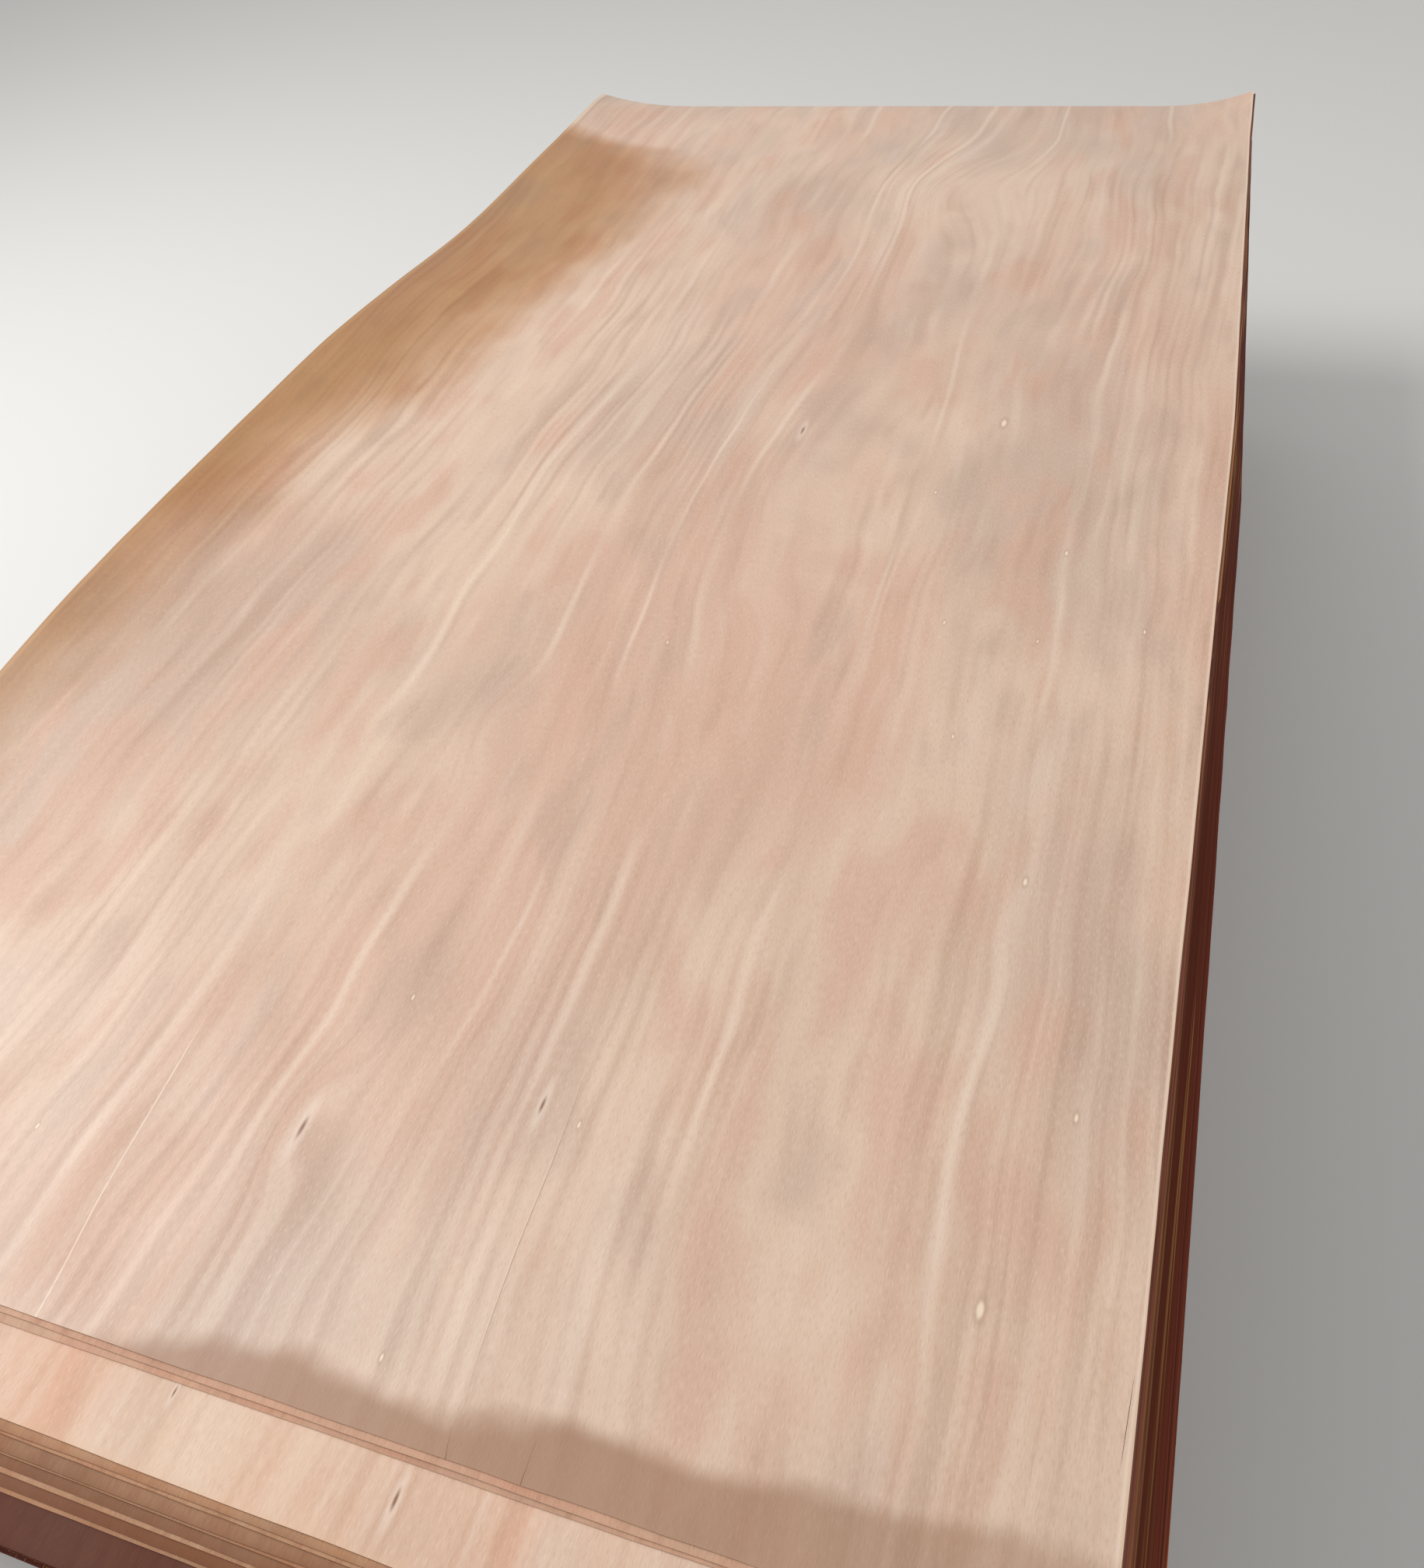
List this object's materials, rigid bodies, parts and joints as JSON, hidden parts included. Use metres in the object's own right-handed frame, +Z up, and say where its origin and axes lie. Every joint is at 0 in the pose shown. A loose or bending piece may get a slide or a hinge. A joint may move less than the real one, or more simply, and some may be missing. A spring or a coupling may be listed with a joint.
{
  "type": "stack of wood veneer sheets",
  "caption": "Floor-standing stack of large rotary-cut wood veneer sheets, with staggered loose sheets on top whose edges and corners have curled.",
  "frame": {"origin": "on the floor, under the middle of the stack's base", "axes": "+X across the sheets to the right, +Y along the grain from the front end to the rear end, +Z up"},
  "size_m": [1.33, 2.5783, 0.6266],
  "materials": {
    "veneer_face": "raw, peeled and dried, with long fine grain",
    "veneer_edge": "raw cut edges of many thin sheets"
  },
  "bodies": {
    "root": {"bundle_01": "veneer_edge", "bundle_02": "veneer_edge", "bundle_03": "veneer_edge", "bundle_04": "veneer_edge", "bundle_05": "veneer_edge", "bundle_06": "veneer_edge", "bundle_07": "veneer_edge", "bundle_08": "veneer_edge", "bundle_09": "veneer_edge", "bundle_10": "veneer_edge", "bundle_11": "veneer_edge", "bundle_12": "veneer_edge", "bundle_13": "veneer_edge", "bundle_14": "veneer_edge", "bundle_15": "veneer_edge", "bundle_16": "veneer_edge", "bundle_17": "veneer_edge", "bundle_18": "veneer_edge", "bundle_19": "veneer_edge", "bundle_20": "veneer_edge", "eighth_leaf": "veneer_face", "eleventh_leaf": "veneer_face", "fifth_leaf": "veneer_face", "fourth_leaf": "veneer_face", "ninth_leaf": "veneer_face", "second_leaf": "veneer_face", "seventh_leaf": "veneer_face", "sixth_leaf": "veneer_face", "tenth_leaf": "veneer_face", "third_leaf": "veneer_face", "thirteenth_leaf": "veneer_face", "top_leaf": "veneer_face", "twelfth_leaf": "veneer_face"}
  },
  "joints": []
}
